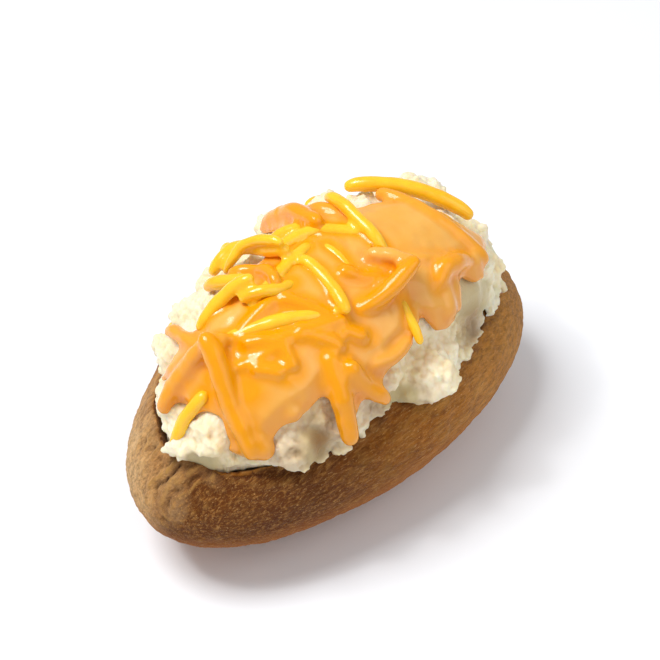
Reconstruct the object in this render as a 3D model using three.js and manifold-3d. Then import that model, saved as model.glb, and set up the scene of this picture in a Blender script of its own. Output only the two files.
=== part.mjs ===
// A loaded baked potato: the baked jacket split along its top, the fluffed flesh heaped in it,
// the cheese sauce poured over the flesh and the grated cheddar that lies in and on the sauce.
// Millimetres. +X runs along the potato to its thick end, +Z is up, -Y is the side the sauce drips on.
import * as THREE from "three";
import { mergeVertices } from "three/addons/utils/BufferGeometryUtils.js";
import Module from "manifold-3d";

const wasm = await Module();
wasm.setup();

// ---- driving dimensions ----
const touchGap = 0.3; // clearance between neighbouring solids

const body = {
  halfLength: 66,
  halfWidth: 39,
  halfHeight: 25.6,
  centreHeight: 23.6, // less than halfHeight, so that a small flat spot forms underneath
  endPower: 1.76, // how fast the girth falls towards the ends
  girthRoot: 2.1,
  taper: 0.065, // the +X end is this much thicker, the -X end this much thinner
  endBow: 4.5, // both ends curve this far towards -Y
  unevenness: 0.7,
  around: 30,
  along: 20,
};

const opening = {
  halfLength: 53.5,
  halfWidth: 30,
  centreX: 0.5,
  rimHeight: 36,
  depth: 24,
  raggedness: 0.03, // share of the half width by which the torn edge wanders
  outlinePoints: 32,
  around: 16,
  along: 9,
  top: 60, // how far up the cutter reaches, clear of the jacket
};

const mound = {
  halfLength: 54.5,
  halfWidth: 32.5,
  halfHeight: 33.5,
  fillDepth: 26, // reaches below the trough's floor, so that the trough shapes the fill
  base: 36,
  centreX: 3,
  centreY: -1,
  endPower: 2.4,
  unevenness: 1,
  around: 22,
  along: 12,
};

const sauce = {
  nearX: -48,
  farX: 39,
  thickness: 2.8,
  edgeThickness: 1.3,
  rootDepth: 1.5, // starts this far inside the mound, and is then cut back to the flesh
  edgeRound: 6, // how late the top falls away to the edge
  segmentsAlong: 27,
  segmentsAcross: 7,
};

const cheddar = {
  sides: 6,
  stepLength: 5.6,
  flatness: 0.85,
  steepness: 0.45, // how fast a strand can climb over another
};

// ---- forms ----
const degrees = Math.PI / 180;

// The whole potato is bent a little: this is where its middle line runs.
const bow = (x) => -body.endBow * (x / body.halfLength) ** 2;

// Slow waves in two directions, from -1 to 1, that never quite repeat.
function waves(a, b, scale) {
  const u = a / scale;
  const v = b / scale;
  const slanted = Math.sin(u + 1.7 * Math.sin(0.8 * v));
  return (slanted + Math.sin(1.3 * v + 0.9 * u + 2) + Math.sin(2.1 * u - 1.1 * v)) / 3;
}

function bodyPoint(direction, grow) {
  const ring = Math.hypot(direction.y, direction.z) || 1;
  const across = direction.y / ring;
  const upward = direction.z / ring;
  const x = (body.halfLength + grow) * direction.x;
  const bare = Math.max(0, 1 - Math.abs(direction.x) ** body.endPower) ** (1 / body.girthRoot);
  const girth = bare * (1 + body.taper * direction.x);
  const size = grow + body.unevenness * waves(x, 40 * Math.atan2(upward, across), 13);
  const y = bow(x) + (body.halfWidth + size) * girth * across;
  const z = body.centreHeight + (body.halfHeight + size) * girth * upward;
  return new THREE.Vector3(x, y, Math.max(z, -grow));
}

// A point at or over the mound's skin. turn is the angle from the ridge, positive towards -Y.
function moundPoint(x, turn, grow, roughness) {
  const along = (x - mound.centreX) / (mound.halfLength + grow);
  const girth = Math.sqrt(Math.max(0, 1 - Math.abs(along) ** mound.endPower));
  const size = grow + roughness * waves(x, 34 * turn, 7);
  const height = Math.cos(turn) > 0 ? mound.halfHeight + size : mound.fillDepth;
  const y = mound.centreY + bow(x) - (mound.halfWidth + size) * girth * Math.sin(turn);
  return new THREE.Vector3(x, y, mound.base + height * girth * Math.cos(turn));
}

// ---- solids ----
function solidOf(geometry) {
  const bare = geometry.clone();
  bare.deleteAttribute("normal");
  bare.deleteAttribute("uv");
  const merged = mergeVertices(bare, 1e-4);
  return new wasm.Manifold(
    new wasm.Mesh({
      numProp: 3,
      vertProperties: merged.attributes.position.array,
      triVerts: new Uint32Array(merged.index.array),
    }),
  );
}

// Small chips that a cut leaves behind are dropped: the piece is its largest body.
function largest(solid) {
  const bodies = solid.decompose();
  return bodies.reduce((most, one) => (one.volume() > most.volume() ? one : most));
}

function geometryOf(solid) {
  const mesh = solid.getMesh();
  const geometry = new THREE.BufferGeometry();
  geometry.setAttribute("position", new THREE.BufferAttribute(mesh.vertProperties, 3));
  geometry.setIndex(new THREE.BufferAttribute(mesh.triVerts, 1));
  geometry.computeVertexNormals();
  return geometry;
}

// A sphere whose poles lie on X, with each point moved to where place puts it.
function shapedBall(around, along, place) {
  const geometry = new THREE.SphereGeometry(1, around, along).rotateZ(-Math.PI / 2);
  const position = geometry.attributes.position;
  const direction = new THREE.Vector3();
  for (let i = 0; i < position.count; i++) {
    const spot = place(direction.fromBufferAttribute(position, i));
    position.setXYZ(i, spot.x, spot.y, spot.z);
  }
  return solidOf(geometry);
}

// ---- the jacket: skin with the wall of firm flesh that stays on it, split open along the top ----
function troughCutter(shrink) {
  const bowl = shapedBall(opening.around, opening.along, (d) => {
    const x = opening.centreX + (opening.halfLength - shrink) * d.x;
    const y = bow(x) + (opening.halfWidth - shrink) * d.y;
    return new THREE.Vector3(x, y, opening.rimHeight + (opening.depth - shrink) * d.z);
  });
  const outline = new THREE.Shape();
  for (let i = 0; i < opening.outlinePoints; i++) {
    const angle = (i / opening.outlinePoints) * 2 * Math.PI;
    const ragged = 1 + opening.raggedness * (Math.sin(5 * angle + 1) + Math.sin(11 * angle)) - shrink / 40;
    const x = opening.centreX + opening.halfLength * ragged * Math.cos(angle);
    const y = bow(x) + opening.halfWidth * ragged * Math.sin(angle);
    if (i === 0) outline.moveTo(x, y);
    else outline.lineTo(x, y);
  }
  const depth = opening.top - opening.rimHeight;
  const slot = new THREE.ExtrudeGeometry(outline, { depth, bevelEnabled: false });
  slot.translate(0, 0, opening.rimHeight - 1);
  return bowl.add(solidOf(slot));
}

function jacketSolid(grow) {
  const whole = shapedBall(body.around, body.along, (d) => bodyPoint(d, grow));
  return whole.subtract(troughCutter(grow));
}

// ---- the flesh: a mound of fluffed potato with its larger clods, filling the trough ----
// Each clod is [x, y, z, radius]. Those past the rim hang over the jacket's edge.
const clods = [
  [6, -31.5, 43, 9],
  [0, -33, 40, 6],
  [12, -33, 41, 6.5],
  [35, -21, 44, 7.5],
  [40, -22, 39, 5.5],
  [50, -9, 43, 7],
  [50, 2, 47, 7.5],
  [44.5, 6, 55, 8.5],
  [-47, -8, 45, 7],
  [-49, -3, 40, 6.5],
  [-46, 5, 44, 6.5],
  [-35, -25, 42, 6.5],
  [-25, -28, 41, 5.5],
  [-36.5, 12, 49, 8.5],
  [-27, 20, 50, 7],
  [-11, 20, 56, 6.5],
  [9, 23, 54, 7],
  [25, 21, 53, 7],
  [-8, 30, 42, 7.5],
  [16, 31, 42, 8],
  [36, 22, 42, 7],
];

function clodSolid([x, y, z, radius], grow) {
  const ball = new THREE.IcosahedronGeometry(1, 1);
  const position = ball.attributes.position;
  const spot = new THREE.Vector3();
  for (let i = 0; i < position.count; i++) {
    spot.fromBufferAttribute(position, i);
    const size = radius * (1 + 0.16 * waves(6 * spot.x + x, 6 * spot.y + y + 5 * spot.z, 2)) + grow;
    position.setXYZ(i, x + size * spot.x, y + size * spot.y, z + 0.85 * size * spot.z);
  }
  return solidOf(ball);
}

function heapSolid(grow) {
  const heap = shapedBall(mound.around, mound.along, (d) => {
    const x = mound.centreX + (mound.halfLength + grow) * d.x;
    const turn = Math.atan2(-d.y, d.z);
    return moundPoint(x, turn, grow, mound.unevenness);
  });
  return clods.reduce((all, clod) => all.add(clodSolid(clod, grow)), heap);
}

// ---- the sauce: a slab bent over the mound, with drips over its front edge ----
// Each edge is a list of [x, turn in degrees], from the near end to the far end.
const frontEdge = [
  [-48, 60],
  [-44, 78],
  [-40.5, 58],
  [-30, 57],
  [-26, 50],
  [-23, 76],
  [-19.5, 66],
  [-13, 64],
  [-4, 59],
  [3, 54],
  [7, 47],
  [10, 61],
  [15, 64],
  [21, 50],
  [25, 47],
  [31, 56],
  [39, 42],
];
const backEdge = [
  [-48, -30],
  [-45, -56],
  [-42, -32],
  [-39, -17],
  [-35, -22],
  [-30, -12],
  [-19, -14],
  [-2, -11],
  [4, -54],
  [9.5, -10],
  [19, -4],
  [25, -1],
  [31, 13],
  [39, 35],
];

function edgeTurn(edge, x) {
  const next = edge.findIndex(([at]) => at > x);
  if (next < 0) return edge[edge.length - 1][1];
  const [fromX, fromTurn] = edge[Math.max(0, next - 1)];
  const [toX, toTurn] = edge[next];
  return THREE.MathUtils.lerp(fromTurn, toTurn, THREE.MathUtils.smoothstep(x, fromX, toX));
}

function sauceSlab() {
  const slab = new THREE.BoxGeometry(1, 1, 1, sauce.segmentsAlong, sauce.segmentsAcross, 1);
  const position = slab.attributes.position;
  for (let i = 0; i < position.count; i++) {
    const along = position.getX(i);
    const across = position.getY(i);
    const x = THREE.MathUtils.lerp(sauce.nearX, sauce.farX, along + 0.5);
    const turn = THREE.MathUtils.lerp(edgeTurn(frontEdge, x), edgeTurn(backEdge, x), across + 0.5);
    const inside = 1 - Math.max(Math.abs(2 * across), Math.abs(2 * along)) ** sauce.edgeRound;
    const top = THREE.MathUtils.lerp(sauce.edgeThickness, sauce.thickness, inside);
    const grow = position.getZ(i) > 0 ? top : -sauce.rootDepth;
    const spot = moundPoint(x, turn * degrees, grow, mound.unevenness / 2);
    position.setXYZ(i, spot.x, spot.y, spot.z);
  }
  return solidOf(slab);
}

// ---- the cheddar: each strand lies over the mound through a start, a middle and an end ----
// A place is [x, turn in degrees, height of the strand's underside over the mound]. Strands are
// listed as they fell, so a later one lies over the earlier ones that it crosses.
const strands = [
  { radius: 1.7, path: [[26, -8, 1], [29, 17, 1.4], [35, 45, 1]] },
  { radius: 1.9, path: [[11, 29, 1], [15, 31, 1], [21, 36, 0.8]] },
  { radius: 1.9, path: [[-41, -3, 1], [-28, 14, 1], [-14, 31, 1]] },
  { radius: 1.8, path: [[-10, -10, 1], [-1, -7, 1.4], [8, 9, 1]] },
  { radius: 1.7, path: [[3, -16, 0.8], [7, -15, 3], [10, -2, 1]] },
  { radius: 1.8, path: [[-5, -1, 1], [-17, 1, 1.6], [-27, 3, 1]] },
  { radius: 1.6, path: [[-27, 0, 1], [-22, 7, 1], [-17, 8, 1]] },
  { radius: 1.8, path: [[-35, -18, 0.8], [-31, -14, 1], [-25, -3, 1]] },
  { radius: 1.8, path: [[-21, -31, 0.6], [-16, -31, 3], [-12, -3, 1.2]] },
  { radius: 1.5, path: [[-19, -25, 0.6], [-15, -18, 2.5], [-13, -5, 1]] },
  { radius: 1.7, path: [[-25, -30, 0.6], [-24, -20, 0.8], [-22, -12, 0.8]] },
  { radius: 1.2, path: [[-21, -18, 0.6], [-18, -8, 1], [-20, 3, 1.2]] },
  { radius: 1.6, path: [[-8, -17, 0.8], [-5, -18, 0.8], [-1, -14, 1]] },
  { radius: 1.8, path: [[5, -45, 0.6], [4, -26, 2], [1, -5, 1.4]] },
  { radius: 1.8, path: [[11, -12, 1], [9, 4, 1.4], [8, 22, 1]] },
  { radius: 1.4, path: [[-2, 4, 1], [-2, 11, 1], [-3, 19, 1]] },
  { radius: 1.7, path: [[-5, 19, 1], [0, 28, 1], [8, 27, 1]] },
  { radius: 1.8, path: [[4, 21, 1], [6, 24, 1.4], [8, 30, 1]] },
  { radius: 1.7, path: [[-10, 5, 1], [-10, 17, 1.6], [-13, 30, 1]] },
  { radius: 1.9, path: [[-9, 34, 1], [-2, 35, 1.2], [8, 32, 1]] },
  { radius: 1.8, path: [[-12, 55, 0.8], [-7, 57, 0.8], [-1, 55, 0.8]] },
  { radius: 2.3, path: [[-22, 41, 1], [-24, 57, 1], [-25, 76, 0.8]] },
  { radius: 1.8, path: [[-20, 48, 1], [-18, 59, 1], [-13, 69, 0.8]] },
  { radius: 1.9, path: [[-47, 8, 0.8], [-50, 3, 0.8], [-53, -8, 0.8]] },
  { radius: 1.8, path: [[-39, 2, 1], [-45, -14, 1], [-50, -36, 0.8]] },
  { radius: 2.2, path: [[-42, -2, 1], [-45, 27, 1], [-46, 62, 0.8]] },
  { radius: 1.5, path: [[3, 42, 0.8], [2, 49, 0.8], [1, 55, 0.8]] },
  { radius: 2, path: [[24, -24, 1.5], [34, -5, 1], [42, 21, 0.8]] },
  { radius: 1.9, path: [[15, 45, 0.8], [18, 39, 1.6], [28, 42, 0.8]] },
  { radius: 1.6, path: [[-37, -44, 0.6], [-39, -26, 0.8], [-40, -14, 0.8]] },
  { radius: 1.8, path: [[-25, -84, 0.6], [-19, -88, 0.6], [-13, -84, 0.6]] },
  { radius: 1.8, path: [[-8, -80, 0.6], [-4, -67, 0.8], [-6, -55, 0.8]] },
  { radius: 1.7, path: [[8, -76, 0.6], [14, -69, 0.8], [21, -72, 0.6]] },
  { radius: 1.8, path: [[25, -60, 0.8], [31, -62, 0.8], [37, -70, 0.6]] },
];

// Strands are laid out on the mound as if it were flat: along, around and up from it.
const roundRadius = 33;

// How far each point of a strand has to rise to pass over the strands laid before it. The rise
// falls away on both sides as a stiff strand would let it.
function riseOver(points, radius, laid) {
  const needed = points.map((point) => {
    let rise = 0;
    for (const other of laid) {
      const apart = (radius + other.radius) * cheddar.flatness + touchGap;
      for (const spot of other.points) {
        const sideways = Math.hypot(point.x - spot.x, point.y - spot.y);
        if (sideways < apart) {
          rise = Math.max(rise, spot.z + Math.sqrt(apart ** 2 - sideways ** 2) - point.z);
        }
      }
    }
    return rise;
  });
  return points.map((point) =>
    points.reduce((most, other, j) => {
      return Math.max(most, needed[j] - cheddar.steepness * point.distanceTo(other));
    }, 0),
  );
}

function strandLayout({ radius, path }, laid) {
  const places = path.map(([x, turn, height]) => {
    return new THREE.Vector3(x, turn * degrees * roundRadius, height + radius * cheddar.flatness);
  });
  const points = new THREE.CatmullRomCurve3(places).getPoints(16);
  const rises = riseOver(points, radius, laid);
  return points.map((point, i) => point.clone().setZ(point.z + rises[i]));
}

function strandSolid(points, radius) {
  const line = points.map(({ x, y, z }) => moundPoint(x, y / roundRadius, z, 0));
  const curve = new THREE.CatmullRomCurve3(line);
  const section = new THREE.Shape();
  section.absellipse(0, 0, radius, radius * cheddar.flatness, 0, 2 * Math.PI);
  const steps = Math.max(3, Math.round(curve.getLength() / cheddar.stepLength));
  const tube = new THREE.ExtrudeGeometry(section, {
    steps,
    curveSegments: cheddar.sides / 2, // a full ellipse gets twice as many
    extrudePath: curve,
    bevelEnabled: false,
  });
  return solidOf(tube);
}

// ---- assembly ----
const jacket = jacketSolid(0);
const flesh = largest(heapSolid(0).subtract(jacketSolid(touchGap)));
const fleshClearance = heapSolid(touchGap);
const jacketClearance = jacketSolid(touchGap);

const laid = [];
let strandClearance = null;
const strandPieces = strands.map((strand) => {
  const points = strandLayout(strand, laid);
  laid.push({ points, radius: strand.radius });
  let piece = strandSolid(points, strand.radius).subtract(fleshClearance).subtract(jacketClearance);
  if (strandClearance) piece = piece.subtract(strandClearance);
  const swollen = strandSolid(points, strand.radius + touchGap);
  strandClearance = strandClearance ? strandClearance.add(swollen) : swollen;
  return largest(piece);
});

const saucePool = largest(
  sauceSlab().subtract(fleshClearance).subtract(jacketClearance).subtract(strandClearance),
);

const skin = new THREE.MeshStandardMaterial({ color: "#7d5029", roughness: 0.75, metalness: 0 });
const fluffyFlesh = new THREE.MeshStandardMaterial({ color: "#efe6c8", roughness: 0.6, metalness: 0 });
const cheeseSauce = new THREE.MeshStandardMaterial({ color: "#f5a94e", roughness: 0.25, metalness: 0 });
const meltedCheddar = new THREE.MeshStandardMaterial({ color: "#f5a51b", roughness: 0.3, metalness: 0 });

const potato = new THREE.Group();

function addPiece(name, solid, material) {
  const mesh = new THREE.Mesh(geometryOf(solid), material);
  mesh.name = name;
  potato.add(mesh);
}

addPiece("jacket", jacket, skin);
addPiece("flesh", flesh, fluffyFlesh);
addPiece("sauce", saucePool, cheeseSauce);
strandPieces.forEach((piece, i) => {
  addPiece("strand_" + String(i + 1).padStart(2, "0"), piece, meltedCheddar);
});

// The origin is under the middle of the whole, on the surface it stands on.
const bounds = new THREE.Box3().setFromObject(potato);
const middle = bounds.getCenter(new THREE.Vector3());
potato.children.forEach((mesh) => mesh.position.set(-middle.x, -middle.y, -bounds.min.z));

export default potato;
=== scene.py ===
# A loaded baked potato: its looks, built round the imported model.
import math

import bmesh
import bpy
import numpy as np
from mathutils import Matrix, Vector, noise
from mathutils.bvhtree import BVHTree
from mathutils.kdtree import KDTree


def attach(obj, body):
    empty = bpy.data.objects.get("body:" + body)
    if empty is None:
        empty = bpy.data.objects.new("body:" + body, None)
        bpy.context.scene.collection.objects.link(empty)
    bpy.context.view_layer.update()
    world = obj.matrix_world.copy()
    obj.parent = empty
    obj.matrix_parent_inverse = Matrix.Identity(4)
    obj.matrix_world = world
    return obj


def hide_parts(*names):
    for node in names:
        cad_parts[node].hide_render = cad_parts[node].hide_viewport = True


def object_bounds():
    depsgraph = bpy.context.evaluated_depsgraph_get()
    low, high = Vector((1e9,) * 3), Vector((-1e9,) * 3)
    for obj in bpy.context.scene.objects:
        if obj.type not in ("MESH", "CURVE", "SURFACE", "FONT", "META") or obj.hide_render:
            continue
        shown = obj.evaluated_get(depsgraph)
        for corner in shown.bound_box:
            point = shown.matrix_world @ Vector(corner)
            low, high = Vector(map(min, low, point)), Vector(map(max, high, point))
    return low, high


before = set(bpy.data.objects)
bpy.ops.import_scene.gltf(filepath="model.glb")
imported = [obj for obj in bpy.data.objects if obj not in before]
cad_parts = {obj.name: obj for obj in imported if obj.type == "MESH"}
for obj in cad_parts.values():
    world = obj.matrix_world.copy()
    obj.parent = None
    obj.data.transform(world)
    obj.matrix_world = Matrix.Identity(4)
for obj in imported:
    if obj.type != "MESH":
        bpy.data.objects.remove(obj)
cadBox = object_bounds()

mm = 0.001  # Blender works in metres, the values below are in millimetres
lowest, highest = Vector(cadBox[0]), Vector(cadBox[1])
middle = (lowest + highest) / 2
strandNames = sorted(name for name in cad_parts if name.startswith("strand_"))


def linear(hexColour):
    channels = [int(hexColour[i:i + 2], 16) / 255 for i in (1, 3, 5)]
    return [c / 12.92 if c <= 0.04045 else ((c + 0.055) / 1.055) ** 2.4 for c in channels] + [1.0]


def addNode(tree, kind, settings=None, inputs=None):
    # settings are the node's own options; inputs are values, or sockets or nodes to link from
    node = tree.nodes.new(kind)
    for key, value in (settings or {}).items():
        setattr(node, key, value)
    for key, value in (inputs or {}).items():
        if isinstance(value, bpy.types.Node):
            value = next(socket for socket in value.outputs if socket.enabled)
        if isinstance(value, bpy.types.NodeSocket):
            tree.links.new(value, node.inputs[key])
        else:
            node.inputs[key].default_value = value
    return node


def newObject(name, mesh):
    obj = bpy.data.objects.new(name, mesh)
    bpy.context.scene.collection.objects.link(obj)
    return obj


def coordinates(mesh):
    flat = np.empty(len(mesh.vertices) * 3, np.float32)
    mesh.vertices.foreach_get("co", flat)
    return flat.reshape(-1, 3).astype(float)


def normalsOf(mesh):
    flat = np.empty(len(mesh.vertices) * 3, np.float32)
    mesh.vertices.foreach_get("normal", flat)
    return flat.reshape(-1, 3).astype(float)


def moveVertices(mesh, points):
    mesh.vertices.foreach_set("co", np.asarray(points, np.float32).ravel())
    mesh.update()


def vertexValue(mesh, name, values):
    layer = mesh.attributes.new(name, "FLOAT", "POINT")
    layer.data.foreach_set("value", np.asarray(values, np.float32))


def bake(obj):
    # what the modifiers make becomes the object's own plain mesh
    depsgraph = bpy.context.evaluated_depsgraph_get()
    mesh = bpy.data.meshes.new_from_object(
        obj.evaluated_get(depsgraph), preserve_all_data_layers=True, depsgraph=depsgraph)
    obj.modifiers.clear()
    obj.data = mesh
    return obj


def cadCopy(name, node):
    # the CAD node's mesh as a new object, its loose triangles merged
    copy = newObject(name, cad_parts[node].data.copy())
    return joined(name, [copy], merge=True)


def joined(name, parts, merge=False):
    vertices, faces, start = [], [], 0
    for part in parts:
        mesh = part.data
        vertices.append(coordinates(mesh))
        faces += [[start + v for v in face.vertices] for face in mesh.polygons]
        start += len(mesh.vertices)
    mesh = bpy.data.meshes.new(name)
    mesh.from_pydata(np.vstack(vertices).tolist(), [], faces)
    for part in parts:
        bpy.data.objects.remove(part)
    obj = newObject(name, mesh)
    if merge:
        weld = obj.modifiers.new("weld", "WELD")
        weld.merge_threshold = 0.02 * mm
        bake(obj)
    return obj


def remesh(obj, voxel, smoothing):
    # one skin round everything in obj, then evened out as something soft would be
    skin = obj.modifiers.new("remesh", "REMESH")
    skin.mode = "VOXEL"
    skin.voxel_size = voxel * mm
    if smoothing:
        even = obj.modifiers.new("smooth", "SMOOTH")
        even.factor = 0.5
        even.iterations = smoothing
    return bake(obj)


def melt(obj, voxel, reach, smoothing):
    # hollows narrower than twice reach fill in, as when something soft runs together
    remesh(obj, voxel, 2)
    moveVertices(obj.data, coordinates(obj.data) + normalsOf(obj.data) * reach * mm)
    remesh(obj, voxel, smoothing)
    moveVertices(obj.data, coordinates(obj.data) - normalsOf(obj.data) * reach * mm)
    return obj


def treeOf(obj):
    mesh = obj.data
    return BVHTree.FromPolygons(
        [v.co for v in mesh.vertices], [tuple(f.vertices) for f in mesh.polygons])


def distanceTo(tree, points, reach):
    # distance in millimetres from each point, reach where there is nothing nearer
    found = (tree.find_nearest(Vector(p), reach * mm) for p in points)
    return np.array([reach if hit[3] is None else hit[3] / mm for hit in found])


def geometryTree(name, inputs):
    tree = bpy.data.node_groups.new(name, "GeometryNodeTree")
    tree.interface.new_socket("Geometry", in_out="OUTPUT", socket_type="NodeSocketGeometry")
    tree.interface.new_socket("Geometry", in_out="INPUT", socket_type="NodeSocketGeometry")
    for label, kind in inputs.items():
        tree.interface.new_socket(label, in_out="INPUT", socket_type=kind)
    return tree, addNode(tree, "NodeGroupInput"), addNode(tree, "NodeGroupOutput")


def setTree(obj, tree, values):
    # the tree's named inputs are found by their sockets' identifiers
    modifier = obj.modifiers.new(tree.name, "NODES")
    modifier.node_group = tree
    for item in tree.interface.items_tree:
        if item.in_out == "INPUT" and item.name in values:
            modifier[item.identifier] = values[item.name]
    return obj


def newMaterial(name, colour, constants):
    material = bpy.data.materials.new(name)
    material.use_nodes = True
    tree = material.node_tree
    shader = tree.nodes["Principled BSDF"]
    shader.inputs["Base Color"].default_value = linear(colour)
    for label, value in constants.items():
        shader.inputs[label].default_value = value
    return material, tree, shader


view = {
    "azimuth": -47,
    "elevation": 42,
    "distance": 479,
    "lens": 100,
    "clipNear": 10,
    "aim": (3.9, 1.3, -1.6),  # from the middle of the model's box
}


def viewDirection(azimuth, elevation):
    a, e = math.radians(azimuth), math.radians(elevation)
    return Vector((math.sin(a) * math.cos(e), -math.cos(a) * math.cos(e), math.sin(e)))


def makeCamera():
    camera = newObject("camera", bpy.data.cameras.new("camera"))
    camera.data.lens = view["lens"]
    camera.data.clip_start = view["clipNear"] * mm
    aim = middle + Vector(view["aim"]) * mm
    back = viewDirection(view["azimuth"], view["elevation"])
    camera.location = aim + back * view["distance"] * mm
    camera.rotation_euler = back.to_track_quat("Z", "Y").to_euler()
    bpy.context.scene.camera = camera


light = {
    "distance": 900,
    # each light: azimuth, elevation, width of its disk, power
    "key": (-130, 66, 480, 6.3),  # from the left and a little behind the potato
    "glint": (-118, 58, 90, 0.9),  # small, for the sharp highlights on the cheese
    "fill": (8, 38, 900, 2.1),
    "sky": 0.44,
    "floorSize": 6000,
    "floorColour": "#f4f6fa",
    "floorRoughness": 0.9,
    "floorShine": 0.1,
}


def areaLight(name, azimuth, elevation, size, power):
    lamp = bpy.data.lights.new(name, "AREA")
    lamp.shape = "DISK"
    lamp.size = size * mm
    lamp.energy = power
    obj = newObject(name, lamp)
    direction = viewDirection(azimuth, elevation)
    obj.location = middle + direction * light["distance"] * mm
    obj.rotation_euler = direction.to_track_quat("Z", "Y").to_euler()


def makeStage():
    for name in ("key", "glint", "fill"):
        areaLight(name + "Light", *light[name])
    world = bpy.data.worlds.new("studio")
    world.use_nodes = True
    sky = world.node_tree.nodes["Background"]
    sky.inputs["Color"].default_value = (1, 1, 1, 1)
    sky.inputs["Strength"].default_value = light["sky"]
    bpy.context.scene.world = world
    half = light["floorSize"] * mm / 2
    mesh = bpy.data.meshes.new("floor")
    corners = [(-half, -half, 0), (half, -half, 0), (half, half, 0), (-half, half, 0)]
    mesh.from_pydata(corners, [], [(0, 1, 2, 3)])
    # matt paper sheet, smooth and uncoated: plain white, with hardly any shine
    paper = newMaterial("mattStudioPaper", light["floorColour"], {
        "Roughness": light["floorRoughness"], "Specular IOR Level": light["floorShine"]})[0]
    mesh.materials.append(paper)
    newObject("floor", mesh)
    bpy.context.scene.view_settings.view_transform = "Standard"


makeCamera()
makeStage()
print("camera, floor and light are set")


def attributeRamp(tree, name, low, high, most=1.0):
    # a vertex value, stretched so that low gives 0 and high gives the most
    value = addNode(tree, "ShaderNodeAttribute", {"attribute_name": name})
    return addNode(tree, "ShaderNodeMapRange", {}, {
        0: value.outputs["Fac"], 1: low, 2: high, 4: most})


def noiseRamp(tree, size, low, high, stretch=(1, 1, 1), detail=4.0, roughness=0.55, most=1.0):
    # patches size millimetres across, stretched along the object's axes; low gives 0, high the most
    place = addNode(tree, "ShaderNodeTexCoord")
    turn = addNode(tree, "ShaderNodeMapping", {}, {
        "Vector": place.outputs["Object"], "Scale": tuple(1 / (size * mm * s) for s in stretch)})
    pattern = addNode(tree, "ShaderNodeTexNoise", {}, {
        "Vector": turn, "Scale": 1.0, "Detail": detail, "Roughness": roughness})
    return addNode(tree, "ShaderNodeMapRange", {}, {0: pattern, 1: low, 2: high, 4: most})


def paint(tree, shader, colour, layers):
    # each layer is a share from 0 to 1 and the colour that covers what lies below it by that share
    colour = linear(colour)
    for share, over in layers:
        colour = addNode(tree, "ShaderNodeMix", {"data_type": "RGBA"}, {
            0: share, 6: colour, 7: linear(over)}).outputs[2]
    tree.links.new(colour, shader.inputs["Base Color"])


def skinMaterial():
    # dry russet skin, baked: leathery golden brown, mottled, with pale flecks and folds painted dark as
    # shade
    material, tree, shader = newMaterial("russetSkinOvenBaked", "#85551f", {
        "Roughness": 0.6, "Specular IOR Level": 0.2, "IOR": 1.45, "Sheen Weight": 0.04,
        "Sheen Roughness": 0.4})
    paint(tree, shader, "#cd8024", [
        (noiseRamp(tree, 13, 0.38, 0.62, (1.6, 1, 1)), "#a36016"),
        (noiseRamp(tree, 4, 0.46, 0.64, (2.2, 1, 1)), "#cb8c38"),
        # painted shade on the front of the near half
        (attributeRamp(tree, "shade", 0.0, 1.1), "#5e2d04"),
        (attributeRamp(tree, "paler", 0.0, 1.3), "#cf9140"),
        # painted light on the near end, on the faces turned towards the key light
        (attributeRamp(tree, "paintedLight", 0.0, 0.9), "#eec288"),
        (noiseRamp(tree, 1.2, 0.44, 0.6, (3.2, 1, 1), 8.0, 0.8, 0.56), "#552807"),  # mottle
        (noiseRamp(tree, 0.6, 0.5, 0.66, (9, 1, 1), 6.0, 0.75, 0.6), "#d0924a"),  # streaks
        (noiseRamp(tree, 0.35, 0.59, 0.66, (4.5, 1, 1), 5.0, 0.7, 0.6), "#e8b878"),  # flecks
        (attributeRamp(tree, "under", 0.0, 1.4), "#bc6c14"),
        # painted highlight on the crests and painted shade in the folds and hollows
        (attributeRamp(tree, "proud", 0.06, 0.6), "#c6944f"),
        (attributeRamp(tree, "proud", -0.06, -0.7), "#46250b"),
        # painted shade in patches along the rim, where the flesh hangs over it
        (attributeRamp(tree, "rim", 0.0, 1.0, noiseRamp(tree, 6, 0.4, 0.6)), "#4b2510"),
        (attributeRamp(tree, "inside", 0.2, 0.8), "#7a4f22"),
    ])
    grain = addNode(tree, "ShaderNodeMath", {"operation": "ADD"}, {
        0: noiseRamp(tree, 0.6, 0.2, 0.8, (3, 1, 1), 6.0, 0.7),
        1: noiseRamp(tree, 1.5, 0.3, 0.7, (4.5, 1, 1), 5.0, 0.7)})
    bump = addNode(tree, "ShaderNodeBump", {}, {
        "Height": grain, "Distance": 0.5 * mm, "Strength": 1.0})
    tree.links.new(bump.outputs[0], shader.inputs["Normal"])
    return material


def fleshMaterial():
    # steamed potato broken up with a fork: moist, cream, light passes in, and its hollows are painted
    # tan as shade
    material, tree, shader = newMaterial("potatoFleshFluffed", "#f5ecc9", {
        "Roughness": 0.4, "Specular IOR Level": 0.4, "IOR": 1.38, "Subsurface Weight": 0.6,
        "Subsurface Radius": (1.0, 0.78, 0.42), "Subsurface Scale": 3.0 * mm})
    paint(tree, shader, "#f9edd0", [
        (noiseRamp(tree, 10, 0.4, 0.65), "#eedcb2"),
        # painted shade in the hollows between crumbs
        (attributeRamp(tree, "proud", -0.03, -0.5), "#e2cd9c"),
        (attributeRamp(tree, "waxy", 0.0, 1.25), "#c8b98a"),
        # painted shade low down and in spots along the front
        (attributeRamp(tree, "low", 0.0, 1.15), "#8a6334"),
    ])
    grain = noiseRamp(tree, 0.7, 0.2, 0.8, (1, 1, 1), 5.0, 0.6)
    bump = addNode(tree, "ShaderNodeBump", {}, {
        "Height": grain, "Distance": 0.25 * mm, "Strength": 0.7})
    tree.links.new(bump.outputs[0], shader.inputs["Normal"])
    return material


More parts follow.
